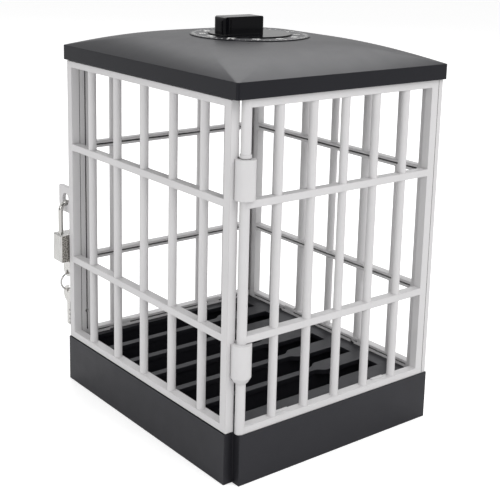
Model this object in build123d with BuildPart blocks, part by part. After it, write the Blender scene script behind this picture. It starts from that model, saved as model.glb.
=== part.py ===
from build123d import *
from math import acos, cos, pi, radians, sin, sqrt, tan
import os

os.makedirs("parts", exist_ok=True)

# A tabletop cage for phones, with a slotted base, a hinged front door held by a small padlock,
# and a wind-up timer under the domed roof. Millimetres, +Z up.
# The origin is the centre of the underside. The door is on the -Y side, its hinge at +X.

# Cage and base
box_width = 150.0
box_depth = 128.0
base_height = 25.0
cage_height = 155.0
base_wall = 2.5
deck_thickness = 2.5
corner_notch = 5.0
cover_thickness = 2.0
cover_gap = 0.3
boss_radius = 3.5
boss_inset = 7.5
screw_radius = 1.3
screw_head_radius = 2.6
countersink_share = 0.7
screw_length = 9.0
screw_fit = 0.03
drive_slot = 0.7

# Phone slots in the deck
slot_count = 6
slot_left_margin = 8.275
slot_right_margin = 18.275
slot_ridge = 4.05
slot_narrow = 10.8
slot_front_margin = 10.0
slot_back_margin = 14.2
slot_step_start = 17.0
slot_step_length = 7.0
divider_thickness = 1.6
divider_overrun = 3.0

# Barred panels
panel_inset = 0.5
panel_thickness = 4.5
panel_gap = 0.3
rail_height = 3.5
stile_width = 4.5
front_stile_width = 6.5
bar_diameter = 4.2
bar_count = 5
wide_bar_pitch = 25.0
side_bar_pitch = 19.6
lower_rail_rise = 44.0
upper_rail_rise = 106.5
top_rail_gap = 0.4
groove_width = 0.8
groove_depth = 2.8
lap_thickness = 2.5
tab_length = 8.0
tab_thickness = 1.6
tab_depth = 4.0
tab_offset = 31.5
tab_gap = 0.2
tab_notch = 3.0
tab_notch_depth = 2.4
catch_hole_radius = 1.0
catch_hole_rise = 14.6
catch_hole_depth = 3.4

# Roof
roof_overhang = 1.0
skirt_height = 7.5
skirt_wall = 1.3
roof_corner = 1.2
dome_rise = 9.7
dome_curve = 1.85
dome_steps = [0.0, 0.25, 0.5, 0.78, 1.0]
corner_growth = 0.8
flat_border = 2.5
roof_wall = 2.2
panel_tuck = 3.0
top_tab_depth = 2.4

# Door and its clip hinge
door_gap = 0.4
door_roof_gap = 0.7
door_end_setback = 5.0
hinge_setback = 7.0
rod_radius = 2.35
hinge_clearance = 0.05
clip_radius = 4.8
upper_clip_height = 18.3
lower_clip_height = 18.2
lower_clip_taper = 2.4
clip_taper_step = 1.05
clip_web = 2.4
clip_end_gap = 0.3
clip_mouth_angle = 80.0
clip_mouth_direction = 120.0
collar_radius = 2.7
collar_height = 1.6

# Lock ears
ear_reach = 13.0
ear_rise = 70.2
ear_height = 14.3
ear_thickness = 2.0
ear_setback = 1.0
ear_corner = 1.0
ear_chamfer = 3.5
ear_hole_radius = 3.4
ear_hole_reach = 5.7
ear_hole_height = 7.0
strike_gap = 0.8

# Padlock, its keys and their ring
shackle_radius = 1.3
shackle_span = 9.0
shackle_front_gap = 1.8
shackle_seat = 0.3
shackle_bore_gap = 0.08
lock_shoulder = 2.3
lock_thickness = 9.8
lock_height = 15.6
lock_drop_below_apex = 17.4
lock_edge = 0.8
long_leg_depth = 13.9
short_leg_depth = 4.6
leg_end_gap = 0.4
lock_travel = 7.0
relief_depth = 0.7
pin_radius = 0.55
pin_depth = 5.4
pin_gap = 0.15
plug_radius = 2.2
plug_height = 13.4
plug_cap = 0.6
plug_gap = 0.05
blade_width = 3.2
blade_thickness = 1.0
blade_length = 13.2
blade_end_gap = 0.6
blade_gap = 0.1
key_cuts = (0.3, 0.5, 0.7, 0.87)
cut_depth = 0.7
cut_width = 1.0
bow_radius = 4.7
bow_thickness = 1.6
bow_gap = 0.5
bow_hole_radius = 1.3
bow_hole_rim = 1.3
ring_radius = 4.8
ring_wire = 0.5
hang_gap = 0.3

# Dial, knob and wind-up movement
dial_radius = 30.5
dial_thickness = 0.5
knob_radius = 20.9
knob_disc_gap = 0.3
knob_disc_thickness = 0.85
knob_ring_gap = 0.5
grip_length = 24.3
grip_width = 10.4
grip_height = 8.8
grip_forward = 7.75
grip_end_round = 3.4
grip_nose_round = 2.8
grip_top_round = 0.8
grip_groove = 0.6
grip_groove_depth = 0.35
grip_groove_place = 3.8
spindle_radius = 2.0
spindle_gap = 0.05
spindle_socket = 6.0
end_play = 0.2
hub_radius = 4.5
hub_gap = 0.4
hub_length = 2.0
case_radius = 31.0
case_wall = 1.2
case_rise = 1.0
case_height = 11.7
lug_radius = 3.4
lug_circle = 34.0
lug_count = 3
lug_thickness = 1.4
lug_angle = 90.0
small_screw_radius = 1.0
small_head_radius = 1.9
small_head_height = 1.1
pan_head_radius = 1.6
pan_head_height = 0.8
plate_screw_depth = 2.6
cross_depth = 1.2
plate_thickness = 1.0
plate_drop = 1.0
pillar_radius = 1.9
pillar_circle = 26.5
pillar_directions = (95.0, 155.0, 320.0)
arbor_radius = 0.8
arbor_gap = 0.05
main_module = 0.5
main_teeth = 60
pinion_teeth = 12
train_module = 0.4
second_teeth = 48
escape_teeth = 15
escape_radius = 8.0
escape_circle = 21.0
escape_tooth = 1.6
escape_lean = 3.0
main_window = 2.6
escape_window = 1.3
pinion_extra = 0.5
pivot_depth = 0.9
wheel_thickness = 1.2
second_direction = 200.0
gear_play = 0.12
pressure_angle = 25.0
spring_strip = 0.5
spring_height = 2.6
spring_step = 1.5
spring_turns = 5
spring_gap = 0.05
bell_radius = 6.8
bell_height = 3.6
bell_skin = 0.7
bell_circle = 22.2
bell_angle = 62.0
bell_post_radius = 1.6
bell_round = 2.0
hammer_turn = 52.0
hammer_hub = 1.8
lever_width = 1.6
lever_thickness = 1.0
hammer_gap = 0.5
pallet_gap = 0.75
pallet_spread = 4.6
pallet_width = 1.2
pallet_turn = 43.0
pallet_bar = 2.2
pallet_tail = 5.0

# Places worked out from the sizes above
half_width = box_width / 2
half_depth = box_depth / 2
side_face = half_width - panel_inset
front_face = -(half_depth - panel_inset)
back_face = -front_face
deck_bottom = base_height - deck_thickness
skirt_bottom = base_height + cage_height
case_bottom = skirt_bottom + case_rise
lower_rail = base_height + lower_rail_rise
upper_rail = base_height + upper_rail_rise
ear_bottom = base_height + ear_rise
slot_pitch = (box_width - slot_left_margin - slot_right_margin + slot_ridge) / slot_count
slot_wide = slot_pitch - slot_ridge
slot_row_shift = (slot_left_margin - slot_right_margin) / 2
rail_levels = [lower_rail, upper_rail]
panel_top = skirt_bottom + panel_tuck
door_bottom = base_height + door_gap
door_top = skirt_bottom - door_roof_gap
door_right = half_width - door_end_setback
door_inside = front_face + panel_thickness
hinge_x = side_face - panel_thickness / 2
hinge_y = -half_depth + hinge_setback
top_rail_bottom = skirt_bottom - rail_height - top_rail_gap
skirt_top = skirt_bottom + skirt_height
dome_top = skirt_top + dome_rise

slot_front = -half_depth + slot_front_margin
slot_back = half_depth - slot_back_margin
cavity_width = box_width - 2 * base_wall
cavity_depth = box_depth - 2 * base_wall

ear_front = front_face + ear_setback
ear_hole_x = -side_face - ear_hole_reach
ear_hole_z = ear_bottom + ear_hole_height
shackle_front_y = ear_front - shackle_front_gap - shackle_radius
shackle_back_y = shackle_front_y + shackle_span
lock_y = shackle_front_y + shackle_span / 2
ear_reach_in_arch = max(abs(ear_front - lock_y), abs(ear_front + ear_thickness - lock_y))
arch_inside = shackle_span / 2 - shackle_radius
arch_over_ear = sqrt(arch_inside**2 - ear_reach_in_arch**2)
arc_z = ear_hole_z - ear_hole_radius + shackle_seat - arch_over_ear
apex_z = arc_z + shackle_span / 2
lock_top = apex_z - lock_drop_below_apex
lock_bottom = lock_top - lock_height
strike_front = shackle_back_y + shackle_radius + strike_gap

dial_top = dome_top + dial_thickness
knob_bottom = dome_top + knob_disc_gap
knob_disc_top = knob_bottom + knob_disc_thickness
case_top = case_bottom + case_height
case_floor = case_bottom + case_wall
plate_bottom = case_top - plate_drop - plate_thickness
plate_top = plate_bottom + plate_thickness
roof_ceiling = dome_top - roof_wall


def polar(radius, angle):
    """A point in plan at a radius and an angle in degrees."""
    return (radius * cos(radians(angle)), radius * sin(radians(angle)))


# Centres of the movement's arbors, set by the gears that they carry
main_reach = main_module * (main_teeth + pinion_teeth) / 2
train_reach = train_module * (second_teeth + pinion_teeth) / 2
second_place = polar(main_reach, second_direction)
swing = (main_reach**2 + escape_circle**2 - train_reach**2) / (2 * main_reach * escape_circle)
escape_direction = second_direction + acos(swing) * 180 / pi
escape_place = polar(escape_circle, escape_direction)
pallet_place = polar(escape_circle, escape_direction + pallet_turn)
hammer_place = polar(bell_circle, bell_angle - hammer_turn)
bell_place = polar(bell_circle, bell_angle)
main_level = case_floor + 1.2
train_level = main_level + wheel_thickness + 1.3
escape_level = train_level + wheel_thickness + 1.2
spring_level = plate_bottom - spring_height - 0.4
spring_start = spindle_radius + spring_gap + spring_strip / 2
tab_places = [-tab_offset, tab_offset]
tab_middle = -panel_thickness + tab_gap + tab_thickness / 2
side_tab_places = [((side_face + tab_middle) * side, place) for side in (-1, 1) for place in tab_places]


def draw_panel(left, right, bottom, top, bars, middle, pitch, left_stile, right_stile):
    """Rails, stiles, round bars and the inner grooves of one panel, drawn on its outer face."""
    width = right - left
    centre = (left + right) / 2
    rail_bottoms = [bottom, *rail_levels, top_rail_bottom]
    for level in rail_bottoms:
        height = top - level if level == top_rail_bottom else rail_height
        with Locations((centre, level, 0)):
            Box(width, height, panel_thickness, align=(Align.CENTER, Align.MIN, Align.MAX))
    if left_stile > 0:
        with Locations((left, bottom, 0)):
            Box(left_stile, top - bottom, panel_thickness, align=(Align.MIN, Align.MIN, Align.MAX))
    if right_stile > 0:
        with Locations((right, bottom, 0)):
            Box(right_stile, top - bottom, panel_thickness, align=(Align.MAX, Align.MIN, Align.MAX))
    for number in range(bars):
        place = middle + (number - (bars - 1) / 2) * pitch
        length = top_rail_bottom - bottom
        with Locations(Location((place, bottom + rail_height / 2, -panel_thickness / 2), (-90, 0, 0))):
            Cylinder(bar_diameter / 2, length, align=(Align.CENTER, Align.CENTER, Align.MIN))
    start = left + left_stile
    end = right - right_stile
    for level in rail_bottoms:
        with Locations(((start + end) / 2, level + rail_height / 2, -panel_thickness)):
            Box(
                end - start - 2 * groove_width,
                groove_width,
                2 * groove_depth,
                mode=Mode.SUBTRACT,
            )
    for stile, place in ((left_stile, left), (right_stile, right)):
        if stile > 0:
            side = 1 if place == left else -1
            with Locations((place + side * stile / 2, (bottom + top) / 2, -panel_thickness)):
                Box(groove_width, top - bottom - 2 * rail_height, 2 * groove_depth, mode=Mode.SUBTRACT)


def draw_tabs(bottom, top, places):
    """Tongues that hold a fixed panel in the deck and in the roof, with a small notch over each."""
    depth = -panel_thickness + tab_gap
    for place in places:
        with Locations((place, bottom, depth)):
            Box(tab_length, 2 * tab_depth, tab_thickness, align=(Align.CENTER, Align.CENTER, Align.MIN))
        with Locations((place, top, depth)):
            Box(tab_length, 2 * top_tab_depth, tab_thickness, align=(Align.CENTER, Align.CENTER, Align.MIN))
        with Locations((place + tab_length, bottom, -panel_thickness)):
            Box(tab_notch, tab_notch, tab_notch_depth, mode=Mode.SUBTRACT)


def draw_ear(front):
    """A flat lock ear that stands on a stile's left face, with a round hole and a cut corner."""
    corner = (-side_face - ear_reach, front, ear_bottom)
    with BuildSketch(Plane(corner, x_dir=(1, 0, 0), z_dir=(0, -1, 0))) as plate:
        with BuildLine():
            Polyline(
                (ear_reach, ear_height),
                (0, ear_height),
                (0, ear_chamfer),
                (ear_chamfer, 0),
                (ear_reach, 0),
                close=True,
            )
        make_face()
        fillet(plate.vertices().sort_by(Axis.X)[:2], ear_corner)
        with Locations((ear_reach - ear_hole_reach, ear_hole_height)):
            Circle(ear_hole_radius, mode=Mode.SUBTRACT)
    extrude(plate.sketch, amount=-ear_thickness)


def gear_points(teeth, module, phase):
    """Involute teeth, thinned by the named play, with one tooth centred on the phase."""
    pitch_radius = module * teeth / 2
    slope = radians(pressure_angle)
    base_radius = pitch_radius * cos(slope)
    tip_radius = pitch_radius + 0.85 * module
    root_radius = pitch_radius - 1.1 * module
    start_radius = max(base_radius, root_radius + 0.1 * module)
    half_tooth = pi / (2 * teeth) - gear_play / (2 * pitch_radius)
    pitch_roll = tan(slope) - slope
    flank = [root_radius] + [start_radius + share * (tip_radius - start_radius) for share in (0.0, 0.5, 1.0)]
    points = []
    for number in range(teeth):
        middle = radians(phase) + 2 * pi * number / teeth
        for side, run in ((-1, flank), (1, flank[::-1])):
            for radius in run:
                tilt = acos(min(1.0, base_radius / radius))
                half = half_tooth + pitch_roll - (tan(tilt) - tilt)
                angle = middle + side * half
                points.append((radius * cos(angle), radius * sin(angle)))
    return points


def draw_gear(place, level, teeth, module, thickness, phase, bore):
    """A toothed wheel with its bore, standing on a level."""
    with BuildSketch(Plane((place[0], place[1], level))) as face:
        with BuildLine():
            Polyline(*gear_points(teeth, module, phase), close=True)
        make_face()
        if bore > 0:
            Circle(bore, mode=Mode.SUBTRACT)
    extrude(face.sketch, amount=thickness)


def draw_screw(place, head_bottom, head_radius, head_height, shank, length, flat_head):
    """A screw that points up, with a cross in its head."""
    with Locations((place[0], place[1], head_bottom)):
        low = (Align.CENTER, Align.CENTER, Align.MIN)
        if flat_head:
            Cone(head_radius, shank, head_height, align=low)
        else:
            Cylinder(head_radius, head_height, align=low)
        Cylinder(shank, length, align=low)
        Box(1.6 * head_radius, drive_slot, cross_depth, mode=Mode.SUBTRACT)
        Box(drive_slot, 1.6 * head_radius, cross_depth, mode=Mode.SUBTRACT)


# Base tray: four walls, the corner notch under the hinge, and a deck with the phone slots
boss_x = half_width - base_wall - boss_inset + boss_radius
boss_y = half_depth - base_wall - boss_inset + boss_radius
screw_places = [(-boss_x, -boss_y), (boss_x - corner_notch, -boss_y), (-boss_x, boss_y), (boss_x, boss_y)]
slot_centres = [
    slot_row_shift + (number - (slot_count - 1) / 2) * slot_pitch for number in range(slot_count)
]
divider_places = [
    slot_row_shift + (number - slot_count / 2) * slot_pitch for number in range(slot_count + 1)
]
step_end = slot_step_start + slot_step_length
step_middle = (slot_step_start + step_end) / 2


def draw_slot(centre):
    """Outline of one phone slot, wide in front and narrow behind, with a soft step between."""
    wide = slot_wide / 2
    narrow = slot_narrow / 2
    Polyline(
        (centre - wide, slot_step_start),
        (centre - wide, slot_front),
        (centre + wide, slot_front),
        (centre + wide, slot_step_start),
    )
    Spline((centre + wide, slot_step_start), (centre + narrow, step_end), tangents=[(0, 1), (0, 1)])
    Polyline(
        (centre + narrow, step_end),
        (centre + narrow, slot_back),
        (centre - narrow, slot_back),
        (centre - narrow, step_end),
    )
    Spline((centre - narrow, step_end), (centre - wide, slot_step_start), tangents=[(0, -1), (0, -1)])


with BuildPart() as base_tray:
    with BuildSketch():
        Rectangle(box_width, box_depth)
        with Locations((half_width, -half_depth)):
            Rectangle(2 * corner_notch, 2 * corner_notch, mode=Mode.SUBTRACT)
    extrude(amount=base_height)
    with BuildSketch():
        Rectangle(cavity_width, cavity_depth)
        with Locations((half_width, -half_depth)):
            Rectangle(
                2 * (corner_notch + base_wall), 2 * (corner_notch + base_wall), mode=Mode.SUBTRACT
            )
    extrude(amount=deck_bottom, mode=Mode.SUBTRACT)
    rib_back = slot_back + divider_overrun
    rib_front = -half_depth + base_wall
    with BuildSketch(Plane.XY.offset(cover_thickness + cover_gap)):
        with Locations(*[(place, (rib_front + rib_back) / 2) for place in divider_places]):
            Rectangle(divider_thickness, rib_back - rib_front)
    extrude(amount=deck_bottom - cover_thickness - cover_gap)
    with BuildSketch(Plane.XY.offset(cover_thickness)):
        with Locations(*screw_places):
            Circle(boss_radius)
    extrude(amount=deck_bottom - cover_thickness)
    with BuildSketch(Plane.XY.offset(deck_bottom)):
        for centre in slot_centres:
            with BuildLine():
                draw_slot(centre)
            make_face()
    extrude(amount=deck_thickness, mode=Mode.SUBTRACT)
    with BuildSketch(Plane.XY.offset(cover_thickness)):
        with Locations(*screw_places):
            Circle(screw_radius + screw_fit)
    extrude(amount=screw_length, mode=Mode.SUBTRACT)
    with BuildSketch(Plane.XY.offset(deck_bottom)):
        with Locations(*side_tab_places):
            Rectangle(tab_thickness + 2 * tab_gap, tab_length + 2 * tab_gap)
        with Locations(*[(place, back_face + tab_middle) for place in tab_places]):
            Rectangle(tab_length + 2 * tab_gap, tab_thickness + 2 * tab_gap)
    extrude(amount=deck_thickness, mode=Mode.SUBTRACT)
base_tray.part.label = "base_tray"

# Bottom cover, flush with the walls' underside
with BuildPart() as base_cover:
    with BuildSketch():
        Rectangle(cavity_width - 2 * cover_gap, cavity_depth - 2 * cover_gap)
        with Locations((half_width, -half_depth)):
            side = 2 * (corner_notch + base_wall + cover_gap)
            Rectangle(side, side, mode=Mode.SUBTRACT)
    extrude(amount=cover_thickness)
    for place in screw_places:
        with Locations((*place, 0)):
            Cone(
                screw_head_radius + screw_fit,
                screw_radius + screw_fit,
                cover_thickness * countersink_share,
                align=(Align.CENTER, Align.CENTER, Align.MIN),
                mode=Mode.SUBTRACT,
            )
            Cylinder(screw_radius + screw_fit, 3 * cover_thickness, mode=Mode.SUBTRACT)
base_cover.part.label = "base_cover"

with BuildPart() as base_screws:
    for place in screw_places:
        sink = cover_thickness * countersink_share
        draw_screw(place, 0, screw_head_radius, sink, screw_radius, screw_length, True)
base_screws.part.label = "base_screws"

# Right side panel: its front stile is the round rod that the door hangs on
right_plane = Plane((side_face, 0, 0), x_dir=(0, 1, 0), z_dir=(1, 0, 0))
side_panel_back = back_face - lap_thickness - panel_gap
side_bar_middle = (hinge_y + rod_radius + side_panel_back - stile_width) / 2
upper_clip_bottom = upper_rail + rail_height + clip_end_gap
upper_clip_top = upper_clip_bottom + upper_clip_height
lower_clip_top = lower_rail - clip_end_gap
lower_clip_bottom = lower_clip_top - lower_clip_height
with BuildPart(right_plane) as right_panel:
    draw_panel(
        hinge_y,
        side_panel_back,
        base_height,
        panel_top,
        bar_count,
        side_bar_middle,
        side_bar_pitch,
        0,
        stile_width,
    )
    draw_tabs(base_height, panel_top, tab_places)
    with Locations(Location((hinge_y, base_height, -panel_thickness / 2), (-90, 0, 0))):
        Cylinder(rod_radius, panel_top - base_height, align=(Align.CENTER, Align.CENTER, Align.MIN))
    collar_bottom = upper_clip_top + clip_end_gap
    with Locations(Location((hinge_y, collar_bottom, -panel_thickness / 2), (-90, 0, 0))):
        Cylinder(collar_radius, collar_height, align=(Align.CENTER, Align.CENTER, Align.MIN))
right_panel.part.label = "right_panel"

# Back panel: its ends are lapped so that the side panels' stiles tuck in behind them
back_plane = Plane((0, back_face, 0), x_dir=(-1, 0, 0), z_dir=(0, 1, 0))
lap_depth = panel_thickness - lap_thickness
with BuildPart(back_plane) as back_panel:
    draw_panel(
        -side_face,
        side_face,
        base_height,
        panel_top,
        bar_count,
        0,
        wide_bar_pitch,
        stile_width + panel_thickness,
        stile_width + panel_thickness,
    )
    draw_tabs(base_height, panel_top, tab_places)
    for end in (-side_face, side_face):
        with Locations((end, (base_height + panel_top) / 2, -panel_thickness)):
            Box(
                2 * (panel_thickness + panel_gap),
                2 * (panel_top - base_height),
                2 * lap_depth,
                mode=Mode.SUBTRACT,
            )
back_panel.part.label = "back_panel"

# Left side panel, with a small catch hole low in its front stile
left_plane = Plane((-side_face, 0, 0), x_dir=(0, -1, 0), z_dir=(-1, 0, 0))
left_panel_front = -(door_inside + panel_gap)
left_bar_middle = (left_panel_front - front_stile_width - side_panel_back + stile_width) / 2
with BuildPart(left_plane) as left_panel:
    draw_panel(
        -side_panel_back,
        left_panel_front,
        base_height,
        panel_top,
        bar_count,
        left_bar_middle,
        side_bar_pitch,
        stile_width,
        front_stile_width,
    )
    draw_tabs(base_height, panel_top, tab_places)
    catch_place = left_panel_front - front_stile_width / 2
    with Locations((catch_place, base_height + catch_hole_rise, -panel_thickness)):
        Cylinder(catch_hole_radius, 2 * catch_hole_depth, mode=Mode.SUBTRACT)
left_panel.part.label = "left_panel"

# The strike ear stands on the left panel's front stile, behind the door's ear
with BuildPart() as strike_ear:
    draw_ear(strike_front)
strike_ear.part.label = "strike_ear"

# Front door, with its two hinge clips
door_plane = Plane((0, front_face, 0), x_dir=(1, 0, 0), z_dir=(0, -1, 0))
door_bar_middle = (door_right - side_face) / 2
with BuildPart(door_plane) as door_frame:
    draw_panel(
        -side_face,
        door_right,
        door_bottom,
        door_top,
        bar_count,
        door_bar_middle,
        wide_bar_pitch,
        stile_width,
        stile_width,
    )

clip_spans = [(upper_clip_bottom, upper_clip_top, 0), (lower_clip_bottom, lower_clip_top, lower_clip_taper)]
with BuildPart() as door_panel:
    add(door_frame.part)
    for low, high, taper in clip_spans:
        with Locations((hinge_x, hinge_y, low + taper)):
            Cylinder(clip_radius, high - low - taper, align=(Align.CENTER, Align.CENTER, Align.MIN))
        if taper > 0:
            with Locations((hinge_x, hinge_y, low)):
                Cone(
                    rod_radius + clip_taper_step,
                    clip_radius,
                    taper,
                    align=(Align.CENTER, Align.CENTER, Align.MIN),
                )
        with Locations((door_right, door_inside - clip_web / 4, low + taper)):
            Box(
                clip_web,
                clip_web,
                high - low - taper,
                align=(Align.MAX, Align.CENTER, Align.MIN),
            )
        mouth = 2 * clip_radius * tan(radians(clip_mouth_angle / 2))
        mouth_plane = Plane((hinge_x, hinge_y, low), x_dir=(*polar(1, clip_mouth_direction), 0))
        with BuildSketch(mouth_plane):
            with BuildLine():
                Polyline((0, 0), (2 * clip_radius, -mouth), (2 * clip_radius, mouth), close=True)
            make_face()
        extrude(amount=high - low, mode=Mode.SUBTRACT)
        with Locations((hinge_x, hinge_y, (low + high) / 2)):
            Cylinder(rod_radius + hinge_clearance, 2 * (high - low), mode=Mode.SUBTRACT)
door_panel.part.label = "door_panel"

with BuildPart() as door_ear:
    draw_ear(ear_front)
door_ear.part.label = "door_ear"

# Roof: a straight skirt under a soft dome with a flat round top
roof_width = box_width + 2 * roof_overhang
roof_depth = box_depth + 2 * roof_overhang
ledge_width = 2 * (side_face - panel_thickness - panel_gap)
ledge_depth = 2 * (back_face - panel_thickness - panel_gap)
flat_width = 2 * (dial_radius + flat_border)
pad_top = dome_top - roof_wall + 0.2


def dome_section(step):
    """Width, depth, corner radius and rise of the dome on its way from the skirt to the flat top."""
    width = roof_width + step * (flat_width - roof_width)
    depth = roof_depth + step * (flat_width - roof_depth)
    full_corner = 0.98 * flat_width / 2
    corner = roof_corner + step**corner_growth * (full_corner - roof_corner)
    return width, depth, corner, dome_rise * (1 - (1 - step) ** dome_curve)


with BuildPart() as roof_shell:
    with BuildSketch(Plane.XY.offset(skirt_bottom)):
        RectangleRounded(roof_width, roof_depth, roof_corner)
    extrude(amount=skirt_height)
    for step in dome_steps:
        width, depth, corner, rise = dome_section(step)
        with BuildSketch(Plane.XY.offset(skirt_top + rise)):
            RectangleRounded(width, depth, corner)
    loft()
    with BuildSketch(Plane.XY.offset(skirt_bottom)):
        Rectangle(roof_width - 2 * skirt_wall, roof_depth - 2 * skirt_wall)
    extrude(amount=panel_tuck, mode=Mode.SUBTRACT)
    with BuildSketch(Plane.XY.offset(panel_top)):
        RectangleRounded(ledge_width, ledge_depth, roof_corner)
    for step in dome_steps[1:]:
        width, depth, corner, rise = dome_section(step)
        with BuildSketch(Plane.XY.offset(skirt_top + rise - roof_wall)):
            RectangleRounded(width - roof_wall, depth - roof_wall, corner - roof_wall / 2)
    loft(mode=Mode.SUBTRACT)
    lug_places = [polar(lug_circle, lug_angle + 360 * number / lug_count) for number in range(lug_count)]
    with BuildSketch(Plane.XY.offset(case_top)):
        with Locations(*lug_places):
            Circle(lug_radius - 0.6)
    extrude(amount=pad_top - case_top)
    with BuildSketch(Plane.XY.offset(case_top)):
        with Locations(*lug_places):
            Circle(small_screw_radius + screw_fit)
    extrude(amount=pad_top - case_top - end_play, mode=Mode.SUBTRACT)
    with Locations((0, 0, dome_top)):
        Cylinder(hub_radius + hub_gap, 4 * roof_wall, mode=Mode.SUBTRACT)
    with BuildSketch(Plane.XY.offset(panel_top)):
        with Locations(*side_tab_places):
            Rectangle(tab_thickness + 2 * tab_gap, tab_length + 2 * tab_gap)
        with Locations(*[(place, back_face + tab_middle) for place in tab_places]):
            Rectangle(tab_length + 2 * tab_gap, tab_thickness + 2 * tab_gap)
    extrude(amount=top_tab_depth + tab_gap, mode=Mode.SUBTRACT)
roof_shell.part.label = "roof_shell"

# Dial ring laid on the roof's flat top
with BuildPart() as dial_plate:
    with BuildSketch(Plane.XY.offset(dome_top)):
        Circle(dial_radius)
        Circle(knob_radius + knob_ring_gap, mode=Mode.SUBTRACT)
    extrude(amount=dial_thickness)
dial_plate.part.label = "dial_plate"

# Bar grip of the winding knob, drawn from above and from its side, with a rounded nose
grip_front = -grip_forward - grip_length / 2
with BuildPart() as knob_grip:
    with BuildSketch(Plane((0, grip_front, knob_disc_top), x_dir=(0, 1, 0), z_dir=(1, 0, 0))) as side_view:
        Rectangle(grip_length, grip_height, align=(Align.MIN, Align.MIN))
        fillet(side_view.vertices().group_by(Axis.Y)[-1].sort_by(Axis.X)[0], grip_nose_round)
        fillet(side_view.vertices().group_by(Axis.Y)[-1].sort_by(Axis.X)[-1], grip_top_round)
    extrude(amount=grip_width / 2, both=True)
    with BuildSketch(Plane.XY.offset(knob_disc_top)) as top_view:
        with Locations((0, -grip_forward)):
            Rectangle(grip_width, grip_length)
        fillet(top_view.vertices().group_by(Axis.Y)[0], grip_end_round)
    extrude(amount=grip_height, mode=Mode.INTERSECT)

# Winding knob: a thin disc with its grip, and a hub round the spindle
with BuildPart() as timer_knob:
    with BuildSketch(Plane.XY.offset(knob_bottom)):
        Circle(knob_radius)
    extrude(amount=knob_disc_thickness)
    add(knob_grip.part)
    groove_y = grip_front + grip_groove_place
    with BuildSketch(Plane.XY.offset(knob_disc_top)):
        with Locations((-grip_width / 2, groove_y), (grip_width / 2, groove_y)):
            Rectangle(2 * grip_groove_depth, grip_groove)
    extrude(amount=grip_height - 2 * grip_top_round, mode=Mode.SUBTRACT)
    with BuildSketch(Plane.XY.offset(knob_bottom)):
        Circle(hub_radius)
    extrude(amount=-hub_length)
    with Locations((0, 0, knob_bottom - hub_length)):
        Cylinder(
            spindle_radius,
            spindle_socket + hub_length,
            align=(Align.CENTER, Align.CENTER, Align.MIN),
            mode=Mode.SUBTRACT,
        )
timer_knob.part.label = "timer_knob"

# Spindle from the knob down to the case floor
with BuildPart() as knob_spindle:
    with BuildSketch(Plane.XY.offset(case_floor + end_play)):
        Circle(spindle_radius)
    extrude(amount=knob_bottom + spindle_socket - case_floor - end_play)
    with BuildSketch(Plane.XY.offset(case_floor - pivot_depth)):
        Circle(arbor_radius)
    extrude(amount=case_wall)
knob_spindle.part.label = "knob_spindle"

with BuildPart() as main_wheel:
    draw_gear((0, 0), main_level, main_teeth, main_module, wheel_thickness, second_direction, spindle_radius)
    with BuildSketch(Plane.XY.offset(main_level)):
        with PolarLocations(0.6 * main_module * main_teeth / 2, 5):
            Circle(main_window)
    extrude(amount=wheel_thickness, mode=Mode.SUBTRACT)
main_wheel.part.label = "main_wheel"

# Mainspring: a flat strip wound in half circles round the spindle
with BuildPart() as mainspring:
    with BuildSketch(Plane.XY.offset(spring_level)) as strip:
        with BuildLine() as coil:
            half_step = spring_step / 2
            for number in range(2 * spring_turns):
                radius = spring_start + number * half_step / 2 + half_step / 4
                middle = half_step / 4 if number % 2 == 0 else -half_step / 4
                side = 1 if number % 2 == 0 else -1
                CenterArc((middle, 0), radius, 0 if side > 0 else 180, 180)
        trace(line_width=spring_strip)
    extrude(amount=spring_height)
mainspring.part.label = "mainspring"

# Timer case: a cup on three lugs under the roof
arbor_places = [second_place, escape_place, pallet_place, hammer_place]
pillar_places = [polar(pillar_circle, direction) for direction in pillar_directions]
with BuildPart() as timer_case:
    with BuildSketch(Plane.XY.offset(case_bottom)):
        Circle(case_radius)
    extrude(amount=case_height)
    with BuildSketch(Plane.XY.offset(case_floor)):
        Circle(case_radius - case_wall)
    extrude(amount=case_height, mode=Mode.SUBTRACT)
    with BuildSketch(Plane.XY.offset(case_top - lug_thickness)) as lug_sketch:
        with Locations(*lug_places):
            Circle(lug_radius)
        Circle(case_radius - case_wall, mode=Mode.SUBTRACT)
        with Locations(*lug_places):
            Circle(small_screw_radius + screw_fit, mode=Mode.SUBTRACT)
    extrude(amount=lug_thickness)
    with BuildSketch(Plane.XY.offset(case_floor)):
        with Locations(*pillar_places):
            Circle(pillar_radius)
    extrude(amount=plate_bottom - case_floor)
    with BuildSketch(Plane.XY.offset(plate_bottom)):
        with Locations(*pillar_places):
            Circle(arbor_radius + screw_fit)
    extrude(amount=-plate_screw_depth - end_play, mode=Mode.SUBTRACT)
    with BuildSketch(Plane.XY.offset(case_floor - pivot_depth)):
        with Locations((0, 0), *arbor_places):
            Circle(arbor_radius + arbor_gap)
    extrude(amount=case_wall, mode=Mode.SUBTRACT)
    with BuildSketch(Plane.XY.offset(case_floor)):
        with Locations(bell_place):
            Circle(bell_post_radius)
    extrude(amount=train_level - case_floor)
timer_case.part.label = "timer_case"

# Movement plate on the pillars
with BuildPart() as movement_plate:
    with BuildSketch(Plane.XY.offset(plate_bottom)):
        Circle(case_radius - case_wall - 0.3)
        Circle(spindle_radius + spindle_gap, mode=Mode.SUBTRACT)
        with Locations(*arbor_places):
            Circle(arbor_radius + arbor_gap, mode=Mode.SUBTRACT)
        with Locations(*pillar_places):
            Circle(arbor_radius + screw_fit, mode=Mode.SUBTRACT)
    extrude(amount=plate_thickness)
movement_plate.part.label = "movement_plate"


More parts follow.
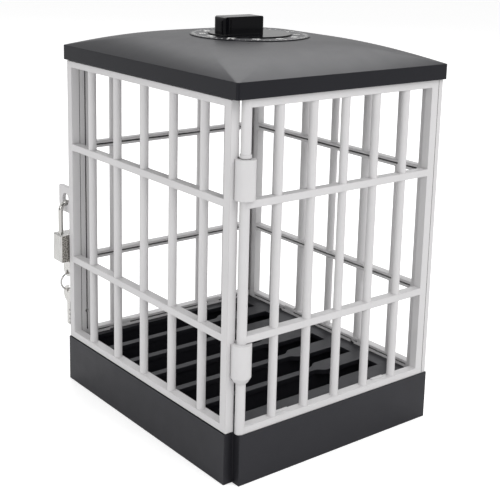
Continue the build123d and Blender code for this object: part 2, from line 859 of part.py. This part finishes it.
def draw_down_screw(place, seat, shank, length):
    """A small pan-head screw that points down from a seat."""
    with Locations((place[0], place[1], seat)):
        Cylinder(pan_head_radius, pan_head_height, align=(Align.CENTER, Align.CENTER, Align.MIN))
        Cylinder(shank, length, align=(Align.CENTER, Align.CENTER, Align.MAX))


with BuildPart() as plate_screws:
    for place in pillar_places:
        draw_down_screw(place, plate_top, arbor_radius, plate_thickness + plate_screw_depth)
plate_screws.part.label = "plate_screws"

with BuildPart() as timer_screws:
    for place in lug_places:
        draw_screw(
            place,
            case_top - lug_thickness - small_head_height,
            small_head_radius,
            small_head_height,
            small_screw_radius,
            small_head_height + lug_thickness + pad_top - case_top - 2 * end_play,
            False,
        )
timer_screws.part.label = "timer_screws"

# Gear train: the second and escape arbors with their wheels
second_pinion_phase = second_direction + 180 + 180 / pinion_teeth
train_direction = 180 / pi * acos((escape_place[0] - second_place[0]) / train_reach)
if escape_place[1] < second_place[1]:
    train_direction = -train_direction
escape_pinion_phase = train_direction + 180 + 180 / pinion_teeth
arbor_low = case_floor - pivot_depth + 0.1
arbor_high = plate_top - 0.1

with BuildPart() as second_pinion:
    draw_gear(
        second_place,
        main_level - pinion_extra,
        pinion_teeth,
        main_module,
        wheel_thickness + 2 * pinion_extra,
        second_pinion_phase,
        0,
    )
    with Locations((*second_place, arbor_low)):
        Cylinder(arbor_radius, arbor_high - arbor_low, align=(Align.CENTER, Align.CENTER, Align.MIN))
second_pinion.part.label = "second_pinion"

with BuildPart() as second_wheel:
    draw_gear(
        second_place, train_level, second_teeth, train_module, wheel_thickness, train_direction, arbor_radius
    )
second_wheel.part.label = "second_wheel"

with BuildPart() as escape_pinion:
    draw_gear(
        escape_place,
        train_level - pinion_extra,
        pinion_teeth,
        train_module,
        wheel_thickness + 2 * pinion_extra,
        escape_pinion_phase,
        0,
    )
    with Locations((*escape_place, arbor_low)):
        Cylinder(arbor_radius, arbor_high - arbor_low, align=(Align.CENTER, Align.CENTER, Align.MIN))
escape_pinion.part.label = "escape_pinion"

with BuildPart() as escape_wheel:
    with BuildSketch(Plane((*escape_place, escape_level))):
        with BuildLine():
            saw = []
            for number in range(escape_teeth):
                turn = 360 * number / escape_teeth
                saw.append(polar(escape_radius, turn))
                saw.append(polar(escape_radius - escape_tooth, turn + escape_lean))
            Polyline(*saw, close=True)
        make_face()
        Circle(arbor_radius, mode=Mode.SUBTRACT)
        with PolarLocations(0.5 * escape_radius, 4):
            Circle(escape_window, mode=Mode.SUBTRACT)
    extrude(amount=wheel_thickness * 0.7)
escape_wheel.part.label = "escape_wheel"

# Pallet lever: its arbor, a cross bar and the two pallets beside the escape wheel
pallet_reach = 2 * escape_circle * sin(radians(pallet_turn / 2))
pallet_arm = pallet_reach - sqrt((escape_radius + pallet_gap) ** 2 - (pallet_spread - pallet_width / 2) ** 2)
with BuildPart() as pallet_lever:
    with Locations((*pallet_place, arbor_low)):
        Cylinder(arbor_radius, arbor_high - arbor_low, align=(Align.CENTER, Align.CENTER, Align.MIN))
    with Locations(Location((*pallet_place, escape_level), (0, 0, escape_direction + pallet_turn / 2 - 90))):
        Box(pallet_bar, 2 * pallet_spread, lever_thickness, align=(Align.CENTER, Align.CENTER, Align.MIN))
        Box(pallet_tail, lever_width, lever_thickness, align=(Align.MAX, Align.CENTER, Align.MIN))
        with Locations((0, pallet_spread, 0), (0, -pallet_spread, 0)):
            Box(pallet_arm, pallet_width, lever_thickness, align=(Align.MIN, Align.CENTER, Align.MIN))
pallet_lever.part.label = "pallet_lever"

# Bell on its post, and the hammer that strikes it
with BuildPart() as bell:
    with BuildSketch(Plane((*bell_place, train_level))):
        Circle(bell_radius)
    extrude(amount=bell_height)
    fillet(bell.faces().sort_by(Axis.Z)[-1].edges(), bell_round)
    with BuildSketch(Plane((*bell_place, train_level + bell_skin))):
        Circle(bell_radius - bell_skin)
    extrude(amount=bell_height, mode=Mode.SUBTRACT)
bell.part.label = "bell"

lever_reach = 2 * bell_circle * sin(radians(hammer_turn / 2)) - bell_radius - hammer_gap
with BuildPart() as bell_hammer:
    with Locations((*hammer_place, arbor_low)):
        Cylinder(arbor_radius, arbor_high - arbor_low, align=(Align.CENTER, Align.CENTER, Align.MIN))
    lever_turn = bell_angle + 90 - hammer_turn / 2
    with Locations(Location((*hammer_place, train_level + 1.0), (0, 0, lever_turn))):
        Box(lever_reach, lever_width, lever_thickness, align=(Align.MIN, Align.CENTER, Align.MIN))
    with Locations((*hammer_place, train_level + 1.0)):
        Cylinder(hammer_hub, 2 * lever_thickness, align=(Align.CENTER, Align.CENTER, Align.MIN))
bell_hammer.part.label = "bell_hammer"

# Padlock shackle: long leg in front, short leg behind, round the door's ear
long_leg_end = lock_top - long_leg_depth
short_leg_end = lock_top - short_leg_depth
pin_z = lock_top - pin_depth
with BuildPart() as shackle:
    with BuildLine() as shackle_path:
        Line((ear_hole_x, shackle_front_y, long_leg_end), (ear_hole_x, shackle_front_y, arc_z))
        ThreePointArc(
            (ear_hole_x, shackle_front_y, arc_z),
            (ear_hole_x, lock_y, apex_z),
            (ear_hole_x, shackle_back_y, arc_z),
        )
        Line((ear_hole_x, shackle_back_y, arc_z), (ear_hole_x, shackle_back_y, short_leg_end))
    with BuildSketch(Plane((ear_hole_x, shackle_front_y, long_leg_end))):
        Circle(shackle_radius)
    sweep(path=shackle_path.wire())
    relief_top = pin_z + pin_radius + pin_gap
    relief_bottom = pin_z - lock_travel - pin_radius - pin_gap
    with Locations((ear_hole_x, shackle_front_y + shackle_radius, (relief_top + relief_bottom) / 2)):
        Box(4 * shackle_radius, 2 * relief_depth, relief_top - relief_bottom, mode=Mode.SUBTRACT)
shackle.part.label = "shackle"

# Padlock body with its bores
pin_y = shackle_front_y + shackle_radius - relief_depth + pin_gap + pin_radius
with BuildPart() as lock_body:
    with BuildSketch(Plane((ear_hole_x, lock_y, lock_bottom))):
        Rectangle(lock_thickness, shackle_span + 2 * lock_shoulder)
    extrude(amount=lock_height)
    fillet(lock_body.edges(), lock_edge)
    for place, end in ((shackle_front_y, long_leg_end), (shackle_back_y, short_leg_end)):
        with Locations((ear_hole_x, place, lock_top)):
            Cylinder(
                shackle_radius + shackle_bore_gap,
                lock_top - end + leg_end_gap,
                align=(Align.CENTER, Align.CENTER, Align.MAX),
                mode=Mode.SUBTRACT,
            )
    with Locations((ear_hole_x, lock_y, lock_bottom)):
        Cylinder(
            plug_radius + plug_gap,
            plug_height + plug_gap,
            align=(Align.CENTER, Align.CENTER, Align.MIN),
            mode=Mode.SUBTRACT,
        )
    with Locations(Location((ear_hole_x, pin_y, pin_z), (0, 90, 0))):
        Cylinder(pin_radius, lock_thickness - 2 * lock_edge, mode=Mode.SUBTRACT)
lock_body.part.label = "lock_body"

with BuildPart() as retaining_pin:
    with Locations(Location((ear_hole_x, pin_y, pin_z), (0, 90, 0))):
        Cylinder(pin_radius, lock_thickness - 2 * lock_edge)
retaining_pin.part.label = "retaining_pin"

with BuildPart() as lock_plug:
    with BuildSketch(Plane((ear_hole_x, lock_y, lock_bottom))):
        Circle(plug_radius)
        Rectangle(blade_width + 2 * blade_gap, blade_thickness + 2 * blade_gap, mode=Mode.SUBTRACT)
    extrude(amount=plug_height - plug_cap)
    with BuildSketch(Plane((ear_hole_x, lock_y, lock_bottom + plug_height - plug_cap))):
        Circle(plug_radius)
    extrude(amount=plug_cap)
lock_plug.part.label = "lock_plug"


def draw_key(bow_z, direction):
    """A flat key: a round bow with its hole, and a blade with its cuts, pointing up or down."""
    hole_z = bow_z - direction * (bow_radius - bow_hole_rim - bow_hole_radius)
    with Locations(Location((ear_hole_x, lock_y, bow_z), (90, 0, 0))):
        Cylinder(bow_radius, bow_thickness)
    low = Align.MIN if direction > 0 else Align.MAX
    with Locations((ear_hole_x, lock_y, bow_z)):
        Box(
            blade_width,
            blade_thickness,
            bow_radius + bow_gap + blade_length - blade_end_gap,
            align=(Align.CENTER, Align.CENTER, low),
        )
    with Locations(Location((ear_hole_x, lock_y, hole_z), (90, 0, 0))):
        Cylinder(bow_hole_radius, 2 * bow_thickness, mode=Mode.SUBTRACT)
    for cut in key_cuts:
        height = bow_z + direction * (bow_radius + bow_gap + cut * blade_length)
        with Locations((ear_hole_x + blade_width / 2, lock_y, height)):
            Box(2 * cut_depth, 2 * blade_thickness, cut_width, mode=Mode.SUBTRACT)


key_bow_z = lock_bottom - bow_gap - bow_radius
key_hole_z = key_bow_z - (bow_radius - bow_hole_rim - bow_hole_radius)
with BuildPart() as lock_key:
    draw_key(key_bow_z, 1)
lock_key.part.label = "lock_key"

# Key ring through the key's bow, and the spare key that hangs on it
ring_top_z = key_hole_z - bow_hole_radius + hang_gap + ring_wire
ring_z = ring_top_z - ring_radius
with BuildPart() as key_ring:
    with Locations(Location((ear_hole_x, lock_y, ring_z), (0, 90, 0))):
        Torus(ring_radius, ring_wire)
key_ring.part.label = "key_ring"

spare_pivot_z = ring_z - ring_radius
spare_hole_z = spare_pivot_z + ring_wire + hang_gap - bow_hole_radius
spare_bow_z = spare_hole_z - (bow_radius - bow_hole_rim - bow_hole_radius)
with BuildPart() as spare_key:
    draw_key(spare_bow_z, -1)
spare_key.part.label = "spare_key"

print("hinge axis", hinge_x, hinge_y)
print("padlock pivot", ear_hole_x, lock_y, ear_hole_z, "lock", lock_top, lock_bottom)
print("key hole pivot z", ring_top_z, "spare key pivot z", spare_pivot_z)
print("arbors", second_place, escape_place, pallet_place, hammer_place, bell_place)

export_step(base_tray.part, "parts/base_tray.step")
export_step(base_cover.part, "parts/base_cover.step")
export_step(base_screws.part, "parts/base_screws.step")
export_step(right_panel.part, "parts/right_panel.step")
export_step(back_panel.part, "parts/back_panel.step")
export_step(left_panel.part, "parts/left_panel.step")
export_step(strike_ear.part, "parts/strike_ear.step")
export_step(door_panel.part, "parts/door_panel.step")
export_step(door_ear.part, "parts/door_ear.step")
export_step(roof_shell.part, "parts/roof_shell.step")
export_step(dial_plate.part, "parts/dial_plate.step")
export_step(timer_knob.part, "parts/timer_knob.step")
export_step(knob_spindle.part, "parts/knob_spindle.step")
export_step(main_wheel.part, "parts/main_wheel.step")
export_step(mainspring.part, "parts/mainspring.step")
export_step(timer_case.part, "parts/timer_case.step")
export_step(movement_plate.part, "parts/movement_plate.step")
export_step(plate_screws.part, "parts/plate_screws.step")
export_step(timer_screws.part, "parts/timer_screws.step")
export_step(second_pinion.part, "parts/second_pinion.step")
export_step(second_wheel.part, "parts/second_wheel.step")
export_step(escape_pinion.part, "parts/escape_pinion.step")
export_step(escape_wheel.part, "parts/escape_wheel.step")
export_step(pallet_lever.part, "parts/pallet_lever.step")
export_step(bell.part, "parts/bell.step")
export_step(bell_hammer.part, "parts/bell_hammer.step")
export_step(shackle.part, "parts/shackle.step")
export_step(lock_body.part, "parts/lock_body.step")
export_step(retaining_pin.part, "parts/retaining_pin.step")
export_step(lock_plug.part, "parts/lock_plug.step")
export_step(lock_key.part, "parts/lock_key.step")
export_step(key_ring.part, "parts/key_ring.step")
export_step(spare_key.part, "parts/spare_key.step")
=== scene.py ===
from math import cos, pi, radians, sin

import bmesh
import bpy
from mathutils import Matrix, Vector


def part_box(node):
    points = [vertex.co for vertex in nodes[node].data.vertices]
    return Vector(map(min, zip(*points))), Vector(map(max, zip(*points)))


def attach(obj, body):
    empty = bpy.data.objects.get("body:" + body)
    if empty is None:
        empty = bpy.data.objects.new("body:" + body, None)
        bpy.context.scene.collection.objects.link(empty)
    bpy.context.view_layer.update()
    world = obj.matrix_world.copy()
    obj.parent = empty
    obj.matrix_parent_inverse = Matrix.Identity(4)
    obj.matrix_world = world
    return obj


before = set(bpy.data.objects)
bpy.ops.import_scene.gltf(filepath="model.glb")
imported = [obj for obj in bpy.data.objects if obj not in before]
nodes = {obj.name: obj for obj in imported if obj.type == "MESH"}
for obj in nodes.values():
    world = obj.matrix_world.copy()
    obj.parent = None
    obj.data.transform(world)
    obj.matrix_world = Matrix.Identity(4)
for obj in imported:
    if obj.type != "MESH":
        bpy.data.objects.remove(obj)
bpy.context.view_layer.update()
mm = 0.001


# Materials

def new_material(name):
    material = bpy.data.materials.new(name)
    material.use_nodes = True
    tree = material.node_tree
    return material, tree, tree.nodes["Principled BSDF"]


def noise(tree, scale, detail=2.0, stretch=None):
    """A noise texture in the object's own space."""
    place = tree.nodes.new("ShaderNodeTexCoord")
    socket = place.outputs["Object"]
    if stretch:
        mapping = tree.nodes.new("ShaderNodeMapping")
        mapping.inputs["Scale"].default_value = stretch
        tree.links.new(socket, mapping.inputs["Vector"])
        socket = mapping.outputs["Vector"]
    texture = tree.nodes.new("ShaderNodeTexNoise")
    texture.inputs["Scale"].default_value = scale
    texture.inputs["Detail"].default_value = detail
    tree.links.new(socket, texture.inputs["Vector"])
    return texture.outputs["Fac"]


def ramp(tree, source, low, high, start=0.3, end=0.7):
    """Turns a texture into a value or a colour between two ends."""
    node = tree.nodes.new("ShaderNodeValToRGB")
    node.color_ramp.elements[0].position = start
    node.color_ramp.elements[1].position = end
    for element, value in zip(node.color_ramp.elements, (low, high)):
        element.color = (*value, 1) if isinstance(value, tuple) else (value, value, value, 1)
    tree.links.new(source, node.inputs["Fac"])
    return node.outputs["Color"]


def add_relief(tree, shader, source, strength, distance, edge=0.0003):
    """Fine bumps over softly rounded edges."""
    bump = tree.nodes.new("ShaderNodeBump")
    bump.inputs["Strength"].default_value = strength
    bump.inputs["Distance"].default_value = distance
    tree.links.new(source, bump.inputs["Height"])
    if edge > 0:
        bevel = tree.nodes.new("ShaderNodeBevel")
        bevel.samples = 6
        bevel.inputs["Radius"].default_value = edge
        tree.links.new(bevel.outputs["Normal"], bump.inputs["Normal"])
    tree.links.new(bump.outputs["Normal"], shader.inputs["Normal"])


def shade(colour, factor):
    return tuple(min(1.0, part * factor) for part in colour)


def darken_crevices(tree, source, reach, deepest_shade):
    """Paints shade into a colour: multiplies it by how open the place is, so that narrow grooves read as
    dark lines of painted shade.
    """
    open_sky = tree.nodes.new("ShaderNodeAmbientOcclusion")
    open_sky.samples = 8
    open_sky.inputs["Distance"].default_value = reach
    mix = tree.nodes.new("ShaderNodeMix")
    mix.data_type = "RGBA"
    mix.blend_type = "MULTIPLY"
    mix.inputs["Factor"].default_value = 1.0
    tree.links.new(source, mix.inputs["A"])
    tree.links.new(ramp(tree, open_sky.outputs["AO"], deepest_shade, 1.0, 0.22, 0.46), mix.inputs["B"])
    return mix.outputs["Result"]


def plastic(
    name, colour, rough=(0.34, 0.46), grain=2600, depth=0.00006, spread=0.06, edge=0.0004, level=0.5,
    crevice_shade=None, gloss_tint=(1, 1, 1),
):
    """Moulded plastic: a fine grain, faint clouds in its colour and gloss."""
    material, tree, shader = new_material(name)
    clouds = noise(tree, 38, 4)
    tint = ramp(tree, clouds, shade(colour, 1 - spread), shade(colour, 1 + spread))
    # Painted shade in grooves and corners, where it is asked for
    if crevice_shade:
        tint = darken_crevices(tree, tint, *crevice_shade)
    tree.links.new(tint, shader.inputs["Base Color"])
    tree.links.new(ramp(tree, noise(tree, 120, 5), rough[0], rough[1]), shader.inputs["Roughness"])
    shader.inputs["Specular IOR Level"].default_value = level
    shader.inputs["Specular Tint"].default_value = (*gloss_tint, 1)
    add_relief(tree, shader, noise(tree, grain, 3), 0.35, depth, edge)
    return material


def metal(
    name, colour, rough=(0.16, 0.3), stretch=(1, 1, 1), scale=900, depth=0.00002, edge=0.0002, spread=0.08
):
    """Metal with fine brush marks along one direction."""
    material, tree, shader = new_material(name)
    marks = noise(tree, scale, 4, stretch)
    tree.links.new(ramp(tree, marks, shade(colour, 1 - spread), colour), shader.inputs["Base Color"])
    tree.links.new(ramp(tree, noise(tree, 260, 4), rough[0], rough[1]), shader.inputs["Roughness"])
    shader.inputs["Metallic"].default_value = 1.0
    add_relief(tree, shader, marks, 0.3, depth, edge)
    return material


# The dark plastics reflect a little bluish
cool = (0.91, 0.915, 1.0)

base_black = plastic(
    "base_black", (0.0095, 0.0093, 0.0115), (0.40, 0.46), grain=2200, depth=0.00004, level=0.4,
    gloss_tint=cool,
)
roof_black = plastic(
    "roof_black", (0.005, 0.005, 0.007), (0.35, 0.38), grain=2600, depth=0.00002, edge=0.0005, level=0.28,
    gloss_tint=cool,
)
case_black = plastic("case_black", (0.012, 0.012, 0.013), (0.45, 0.6))
dial_black = plastic(
    "dial_black", (0.008, 0.008, 0.0095), (0.34, 0.37), grain=3000, depth=0.00002, edge=0.0002,
    gloss_tint=cool,
)
knob_black = plastic(
    "knob_black", (0.003, 0.003, 0.004), (0.08, 0.14), grain=700, depth=0.00001, edge=0.0005, level=0.14
)
# The grey panels carry painted shade, a dark brown, in their grooves and corners
panel_grey = plastic(
    "panel_grey", (0.575, 0.567, 0.572), (0.32, 0.42), grain=1800, depth=0.00003, spread=0.025,
    crevice_shade=(0.0016, (0.045, 0.032, 0.026)),
)
mark_white = plastic(
    "mark_white", (0.9, 0.9, 0.88), (0.4, 0.55), grain=4000, depth=0.00001, spread=0.03, edge=0
)


def lock_metal(name):
    """Brushed faces in front and behind, and dark cast sides with a coarse speckle."""
    material, tree, shader = new_material(name)
    marks = noise(tree, 2400, 4, (1, 1, 0.05))
    speckle = noise(tree, 1500, 3)
    bright = ramp(tree, marks, (0.48, 0.475, 0.46), (0.74, 0.735, 0.72))
    dark = ramp(tree, speckle, (0.14, 0.13, 0.115), (0.62, 0.60, 0.56), 0.38, 0.62)
    place = tree.nodes.new("ShaderNodeTexCoord")
    split = tree.nodes.new("ShaderNodeSeparateXYZ")
    tree.links.new(place.outputs["Normal"], split.inputs["Vector"])
    side = tree.nodes.new("ShaderNodeMath")
    side.operation = "ABSOLUTE"
    tree.links.new(split.outputs["X"], side.inputs[0])
    cast = ramp(tree, side.outputs[0], 0.0, 1.0, 0.75, 0.9)
    mix = tree.nodes.new("ShaderNodeMix")
    mix.data_type = "RGBA"
    tree.links.new(cast, mix.inputs["Factor"])
    tree.links.new(bright, mix.inputs["A"])
    tree.links.new(dark, mix.inputs["B"])
    tree.links.new(mix.outputs["Result"], shader.inputs["Base Color"])
    rough = tree.nodes.new("ShaderNodeMapRange")
    rough.inputs["To Min"].default_value = 0.27
    rough.inputs["To Max"].default_value = 0.6
    tree.links.new(cast, rough.inputs["Value"])
    tree.links.new(rough.outputs["Result"], shader.inputs["Roughness"])
    shader.inputs["Metallic"].default_value = 1.0
    add_relief(tree, shader, speckle, 0.4, 0.00006, 0.0004)
    return material


chrome = metal("chrome", (0.60, 0.59, 0.57), (0.04, 0.10), (1, 1, 0.08), 1500, 0.000008)
nickel = metal("nickel", (0.70, 0.69, 0.67), (0.18, 0.32), (1, 1, 1), 1200, 0.00001)
brushed = lock_metal("brushed")
steel = metal("steel", (0.58, 0.58, 0.58), (0.25, 0.4))
brass = metal("brass", (0.74, 0.55, 0.24), (0.22, 0.36), (1, 1, 1), 1500)
spring_blue = metal("spring_blue", (0.2, 0.22, 0.28), (0.25, 0.4))

finishes = {
    "base_tray": base_black,
    "base_cover": base_black,
    "base_screws": steel,
    "right_panel": panel_grey,
    "back_panel": panel_grey,
    "left_panel": panel_grey,
    "strike_ear": panel_grey,
    "door_panel": panel_grey,
    "door_ear": panel_grey,
    "roof_shell": roof_black,
    "dial_plate": dial_black,
    "timer_knob": knob_black,
    "timer_case": case_black,
    "timer_screws": steel,
    "movement_plate": steel,
    "plate_screws": steel,
    "knob_spindle": steel,
    "main_wheel": brass,
    "mainspring": spring_blue,
    "second_pinion": steel,
    "second_wheel": brass,
    "escape_pinion": steel,
    "escape_wheel": brass,
    "pallet_lever": steel,
    "bell": chrome,
    "bell_hammer": steel,
    "shackle": chrome,
    "lock_body": brushed,
    "retaining_pin": steel,
    "lock_plug": brass,
    "lock_key": nickel,
    "key_ring": chrome,
    "spare_key": nickel,
}
for name, node in nodes.items():
    for place in node.material_slots:
        place.material = finishes[name]


# Pieces that only the scene has

def add_mesh(name, mesh, material, body):
    piece = bpy.data.objects.new(name, mesh)
    bpy.context.scene.collection.objects.link(piece)
    mesh.materials.append(material)
    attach(piece, body)
    return piece


dial_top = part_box("dial_plate")[1][2]
dial_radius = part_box("dial_plate")[1][0]
knob_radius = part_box("timer_knob")[1][0]
print_thickness = 0.04 * mm
dial_minutes = 60
minutes_per_number = 5
stroke_margin = 1.0 * mm
long_stroke, short_stroke = (2.4 * mm, 0.2 * mm), (1.5 * mm, 0.13 * mm)
number_height = 4.2 * mm
number_weight = 0.09 * mm
number_clearance = 3.0 * mm


def dial_marks():
    """Sixty minute strokes round the dial, longer every five minutes."""
    mesh = bpy.data.meshes.new("dial_marks")
    build = bmesh.new()
    outer = dial_radius - stroke_margin
    for minute in range(dial_minutes):
        length, half = short_stroke if minute % minutes_per_number else long_stroke
        inner = outer - length
        turn = Matrix.Rotation(-minute * 2 * pi / dial_minutes, 4, "Z")
        corners = [(-half, inner), (half, inner), (half, outer), (-half, outer)]
        low = [build.verts.new(turn @ Vector((x, y, dial_top))) for x, y in corners]
        high = [build.verts.new(v.co + Vector((0, 0, print_thickness))) for v in low]
        build.faces.new(high)
        build.faces.new(low[::-1])
        for a in range(4):
            b = (a + 1) % 4
            build.faces.new((low[a], low[b], high[b], high[a]))
    build.to_mesh(mesh)
    build.free()
    return add_mesh("dial_marks", mesh, mark_white, "cage")


def dial_numbers():
    """The minutes, every five, upright when read from outside the dial."""
    middle = knob_radius + number_clearance
    for minute in range(0, dial_minutes, minutes_per_number):
        curve = bpy.data.curves.new(f"number_{minute}", "FONT")
        curve.body = str(minute)
        curve.size = number_height
        curve.offset = number_weight
        curve.align_x = "CENTER"
        curve.align_y = "CENTER"
        curve.extrude = print_thickness / 2
        curve.resolution_u = 6
        angle = -minute * 2 * pi / dial_minutes
        text = bpy.data.objects.new(f"number_{minute}", curve)
        bpy.context.scene.collection.objects.link(text)
        text.matrix_world = Matrix.Rotation(angle, 4, "Z") @ Matrix.Translation(
            (0, middle, dial_top + print_thickness / 2)
        )
        curve.materials.append(mark_white)
        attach(text, "cage")


dial_marks()
dial_numbers()


# Stage, lamps and camera

def white_world(plain_light, seen_light):
    """A white room that looks brighter to the camera than it shines."""
    world = bpy.data.worlds.new("studio")
    bpy.context.scene.world = world
    world.use_nodes = True
    tree = world.node_tree
    back = tree.nodes["Background"]
    path = tree.nodes.new("ShaderNodeLightPath")
    seen = tree.nodes.new("ShaderNodeMath")
    seen.operation = "MAXIMUM"
    tree.links.new(path.outputs["Is Camera Ray"], seen.inputs[0])
    tree.links.new(path.outputs["Is Transmission Ray"], seen.inputs[1])
    strength = tree.nodes.new("ShaderNodeMapRange")
    strength.inputs["To Min"].default_value = plain_light
    strength.inputs["To Max"].default_value = seen_light
    tree.links.new(seen.outputs[0], strength.inputs["Value"])
    tree.links.new(strength.outputs["Result"], back.inputs["Strength"])
    back.inputs["Color"].default_value = (1, 1, 1, 1)


white_world(0.62, 1.0)

floor_radius = 6.0
floor_depth = 0.0002
floor_glow = 0.42

floor_mesh = bpy.data.meshes.new("floor")
floor_build = bmesh.new()
bmesh.ops.create_circle(floor_build, cap_ends=True, segments=96, radius=floor_radius)
floor_build.to_mesh(floor_mesh)
floor_build.free()
floor = bpy.data.objects.new("floor", floor_mesh)
bpy.context.scene.collection.objects.link(floor)
floor.location.z = -floor_depth
floor_material, floor_tree, floor_shader = new_material("floor_white")
floor_shader.inputs["Base Color"].default_value = (0.86, 0.86, 0.86, 1)
floor_shader.inputs["Roughness"].default_value = 0.95
glow = floor_tree.nodes.new("ShaderNodeEmission")
glow.inputs["Color"].default_value = (1, 1, 1, 1)
glow.inputs["Strength"].default_value = floor_glow
light_path = floor_tree.nodes.new("ShaderNodeLightPath")
camera_glow = floor_tree.nodes.new("ShaderNodeMixShader")
total = floor_tree.nodes.new("ShaderNodeAddShader")
black = floor_tree.nodes.new("ShaderNodeEmission")
black.inputs["Strength"].default_value = 0
floor_tree.links.new(light_path.outputs["Is Camera Ray"], camera_glow.inputs["Fac"])
floor_tree.links.new(black.outputs[0], camera_glow.inputs[1])
floor_tree.links.new(glow.outputs[0], camera_glow.inputs[2])
floor_tree.links.new(floor_shader.outputs[0], total.inputs[0])
floor_tree.links.new(camera_glow.outputs[0], total.inputs[1])
floor_output = next(node for node in floor_tree.nodes if node.type == "OUTPUT_MATERIAL")
floor_tree.links.new(total.outputs[0], floor_output.inputs["Surface"])
floor_mesh.materials.append(floor_material)

centre = Vector((0, 0, 0.1))


def lamp(name, azimuth, elevation, distance, size, power):
    """A square soft box that looks at the object."""
    light = bpy.data.lights.new(name, "AREA")
    light.shape = "SQUARE"
    light.size = size
    light.energy = power
    body = bpy.data.objects.new(name, light)
    bpy.context.scene.collection.objects.link(body)
    turn = radians(azimuth)
    lift = radians(elevation)
    away = Vector((sin(turn) * cos(lift), -cos(turn) * cos(lift), sin(lift)))
    body.location = centre + away * distance
    body.rotation_euler = away.to_track_quat("Z", "Y").to_euler()


def dark_card(name, azimuth, distance, width, height):
    """A dark card beside the camera that only shows in the reflections of polished metal."""
    turn = radians(azimuth)
    across = Vector((cos(turn), sin(turn), 0)) * width / 2
    foot = Vector((sin(turn), -cos(turn), 0)) * distance
    mesh = bpy.data.meshes.new(name)
    corners = [foot - across, foot + across, foot + across, foot - across]
    for corner in corners[2:]:
        corner.z = height
    mesh.from_pydata(corners, [], [(0, 1, 2, 3)])
    card = bpy.data.objects.new(name, mesh)
    bpy.context.scene.collection.objects.link(card)
    material, tree, shader = new_material(name)
    tint = ramp(tree, noise(tree, 3), 0.02, 0.03)
    tree.links.new(tint, shader.inputs["Base Color"])
    shader.inputs["Roughness"].default_value = 0.9
    mesh.materials.append(material)
    card.visible_camera = False
    card.visible_diffuse = False
    card.visible_shadow = False


dark_card("card_left", -8, 0.9, 0.34, 1.1)
dark_card("card_right", 78, 0.9, 0.9, 1.1)

lamp("key", 95, 48, 1.3, 0.9, 8.5)
lamp("fill", -20, 30, 1.4, 1.0, 3.6)
lamp("front", 40, 14, 1.4, 0.5, 2.6)
lamp("back", -130, 50, 1.4, 1.0, 7.0)

# The lens is stated in pixels of the photo
picture_size = 500
focal_length = 1061.83
sensor_width = 36.0
middle_x, middle_y = 268.44, 155.91
camera_place = (0.42456, -0.33125, 0.25392)
azimuth, elevation, roll = radians(50.852), radians(12.487), radians(-1.592)

camera_data = bpy.data.cameras.new("camera")
camera = bpy.data.objects.new("camera", camera_data)
bpy.context.scene.collection.objects.link(camera)
camera_data.sensor_width = sensor_width
camera_data.lens = sensor_width * focal_length / picture_size
camera_data.shift_x = (picture_size / 2 - middle_x) / picture_size
camera_data.shift_y = (middle_y - picture_size / 2) / picture_size
camera_data.clip_start = 0.01
back = Vector((sin(azimuth) * cos(elevation), -cos(azimuth) * cos(elevation), sin(elevation)))
right = Vector((0, 0, 1)).cross(back).normalized()
up = back.cross(right)
turn = Matrix((right, up, back)).transposed().to_4x4()
spin = Matrix.Rotation(-roll, 4, "Z")
camera.matrix_world = Matrix.Translation(camera_place) @ turn @ spin
bpy.context.scene.camera = camera

bpy.context.scene.view_settings.view_transform = "Standard"

bpy.context.view_layer.update()
